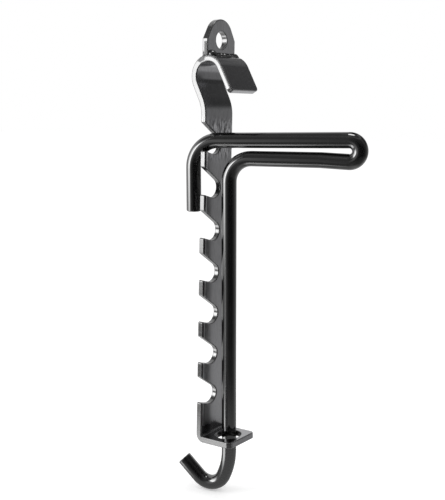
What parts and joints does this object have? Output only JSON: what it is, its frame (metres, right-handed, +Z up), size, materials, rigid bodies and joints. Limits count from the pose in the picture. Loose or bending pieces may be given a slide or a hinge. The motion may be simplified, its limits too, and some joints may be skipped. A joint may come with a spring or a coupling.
{
  "type": "trammel hook",
  "caption": "Adjustable hanger: a flat bar with slanted notches, an open top hook and an eye carries a bent round rod that ends in a J hook and steps up and down.",
  "frame": {"origin": "centre of the hanging eye's hole, at the middle of the eye's thickness", "axes": "+Z up along the bar, +Y from the bar's front face (the side of the handle) to its back, along the eye's hole; the notched edge faces -X"},
  "size_m": [0.0349, 0.1115, 0.2893],
  "materials": {
    "bar_black": "glossy black coated mild steel, faint brushed streaks",
    "weld_black": "glossy black coated weld bead, rippled",
    "rod_black": "glossy black coated round steel rod"
  },
  "bodies": {
    "bar": {"notched_bar": "bar_black", "hanging_eye": "bar_black", "front_weld": "weld_black", "back_weld": "weld_black"},
    "rod": {"hook_rod": "rod_black"}
  },
  "joints": [
    {"name": "height_step", "type": "slide", "parent": "bar", "child": "rod", "axis": [0, 0, 1], "range_m": [-0.1536, 0]}
  ]
}
